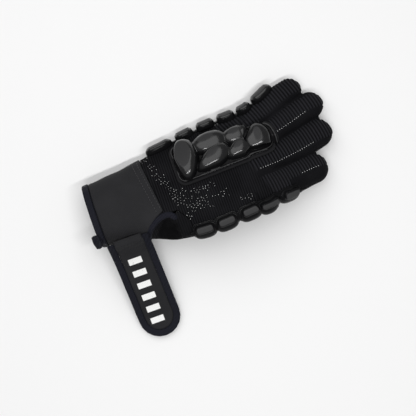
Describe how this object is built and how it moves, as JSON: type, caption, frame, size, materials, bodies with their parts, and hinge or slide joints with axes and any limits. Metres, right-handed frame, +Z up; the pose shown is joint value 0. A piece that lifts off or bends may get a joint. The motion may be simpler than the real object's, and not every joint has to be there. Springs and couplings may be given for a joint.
{
  "type": "field hockey glove",
  "caption": "Black left-hand field hockey glove with moulded knuckle and edge guards, ribbed fabric back and open wrist strap.",
  "frame": {"origin": "point on the flattened palm that rests on the surface, under the knuckles on the little finger side", "axes": "+X to the fingertips, +Y to the little finger side, +Z up from the back of the hand"},
  "size_m": [0.2472, 0.1937, 0.0521],
  "materials": {
    "ribbed_fabric": "ribbed knit, matt",
    "plain_fabric": "fine knit, matt",
    "palm_leather": "synthetic suede, matt",
    "binding_tape": "woven elastic tape",
    "guard_moulding": "glossy moulded",
    "guard_padding": "covered foam",
    "hook_tape": "hook fastener"
  },
  "bodies": {
    "root": {"back_panel": "ribbed_fabric", "palm_panel": "palm_leather", "side_panel_radial": "plain_fabric", "side_panel_ulnar": "plain_fabric", "fourchette_middle_index": "plain_fabric", "fourchette_ring_middle": "plain_fabric", "fourchette_little_ring": "plain_fabric", "thumb_sleeve": "palm_leather", "cuff_band": "plain_fabric", "cuff_binding": "binding_tape", "slit_binding": "binding_tape", "strap_panel": "plain_fabric", "strap_binding": "binding_tape", "hook_patch": "hook_tape", "pull_loop": "binding_tape", "guard_pad": "guard_padding", "knuckle_guard": "guard_moulding", "ulnar_guard": "guard_moulding", "radial_guard": "guard_moulding"}
  },
  "joints": []
}
